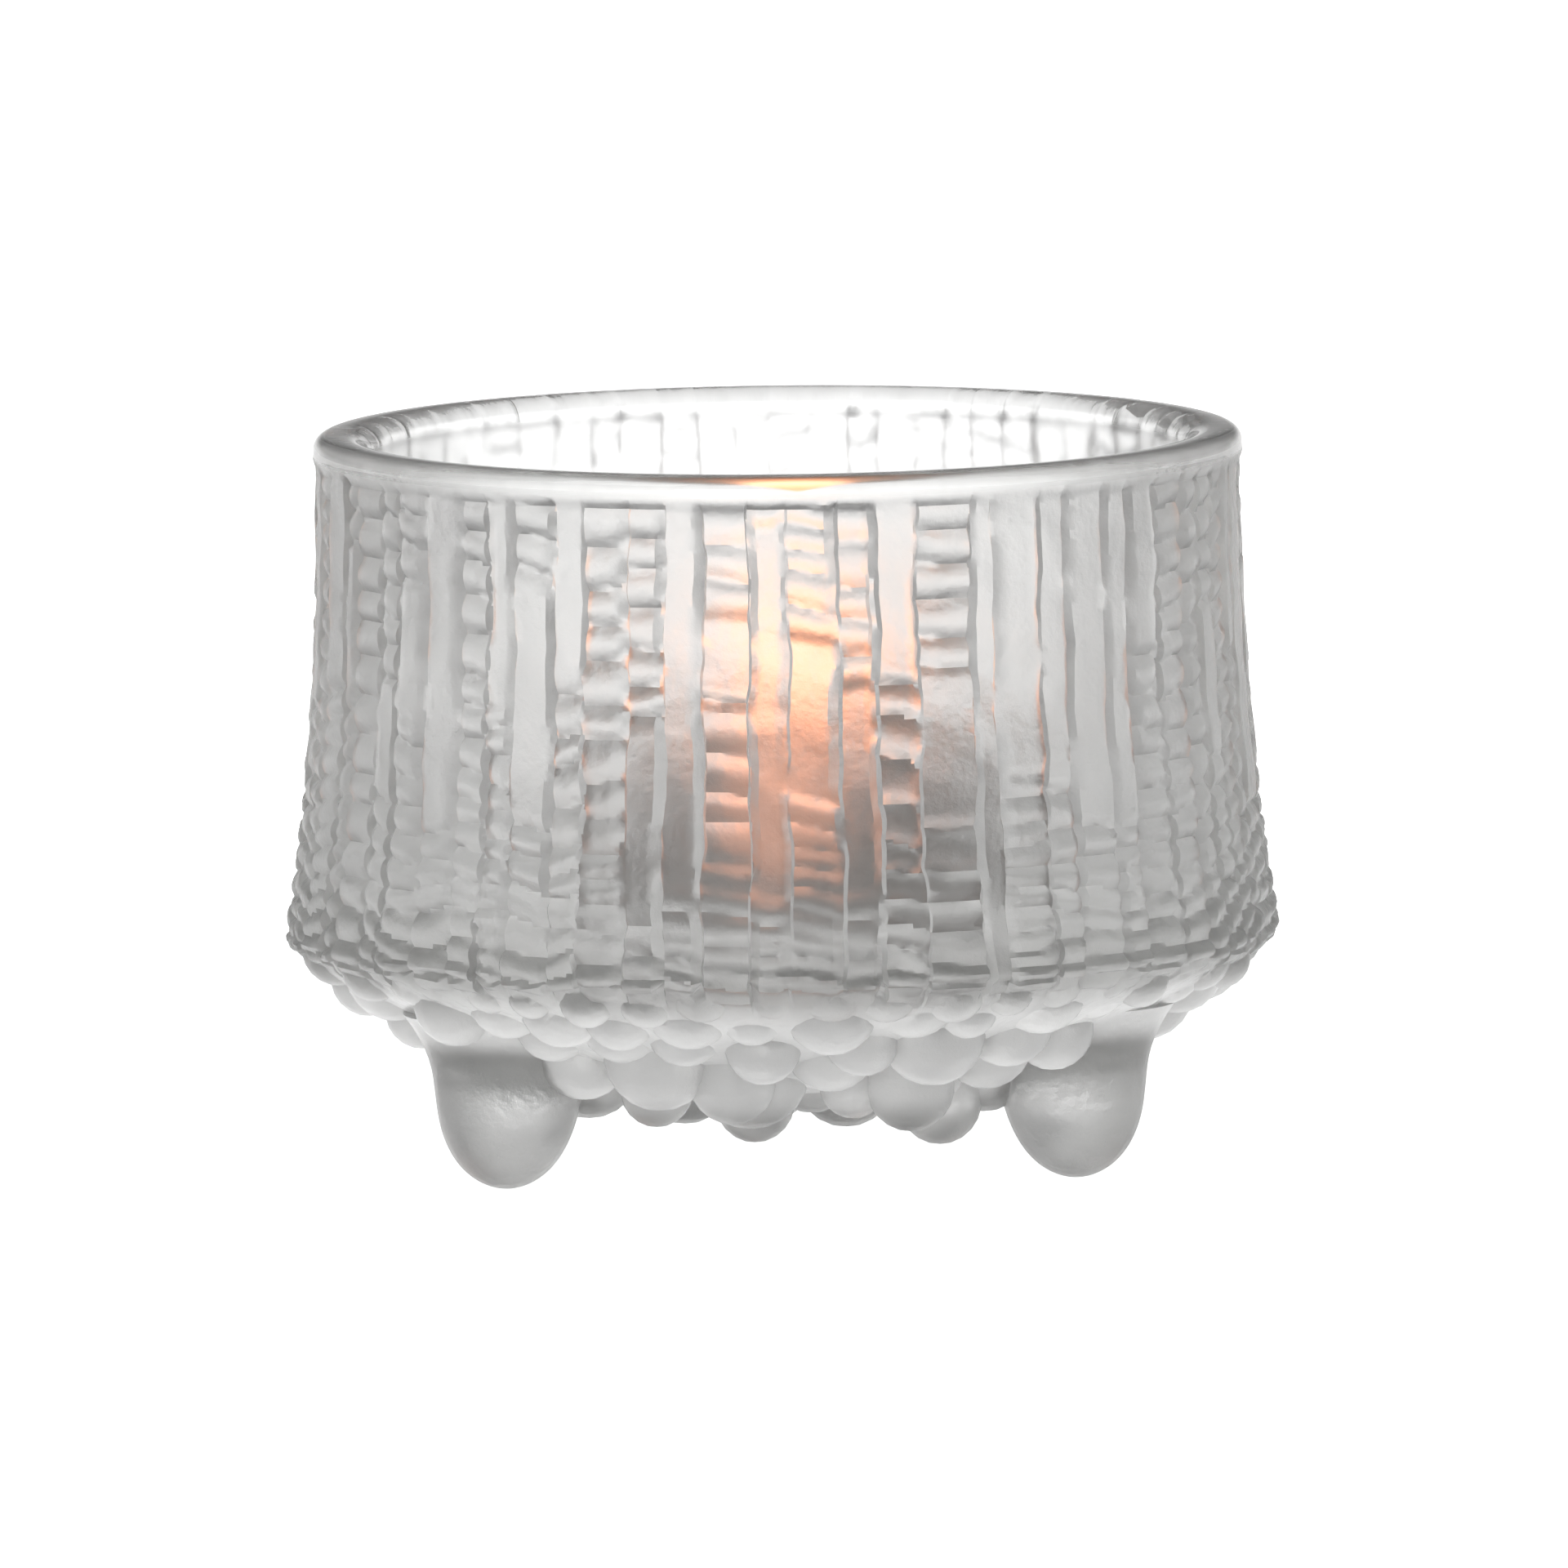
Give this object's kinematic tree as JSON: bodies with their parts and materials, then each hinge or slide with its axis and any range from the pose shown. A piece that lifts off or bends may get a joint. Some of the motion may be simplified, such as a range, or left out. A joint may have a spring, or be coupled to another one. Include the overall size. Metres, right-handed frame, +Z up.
{
  "type": "tealight holder",
  "caption": "Footed bowl of thick moulded glass with a frosted, ice-like outside, holding a tealight candle in an aluminium cup on its flat cavity floor.",
  "frame": {"origin": "on the table, under the middle of the holder", "axes": "+Z up through the middle of the bowl; +X to the right and -Y to the front, with two feet in front and one behind"},
  "size_m": [0.0882, 0.0882, 0.065],
  "materials": {
    "frosted_glass": "satin, frosted outside and fire-polished at the lip",
    "foil": "pressed foil, soft satin",
    "wax": "smooth paraffin wax, slightly translucent",
    "wick_cotton": "braided cotton, charred at the tip",
    "clip_steel": "thin tinned sheet"
  },
  "bodies": {
    "holder": {"glass_holder": "frosted_glass"},
    "cup": {"tealight_cup": "foil"},
    "candle": {"wax": "wax", "wick": "wick_cotton", "wick_clip": "clip_steel"}
  },
  "joints": [
    {"name": "tealight_lift", "type": "slide", "parent": "holder", "child": "cup", "axis": [0, 0, 1], "range_m": [0, 0.05]},
    {"name": "candle_lift", "type": "slide", "parent": "cup", "child": "candle", "axis": [0, 0, 1], "range_m": [0, 0.018]}
  ]
}
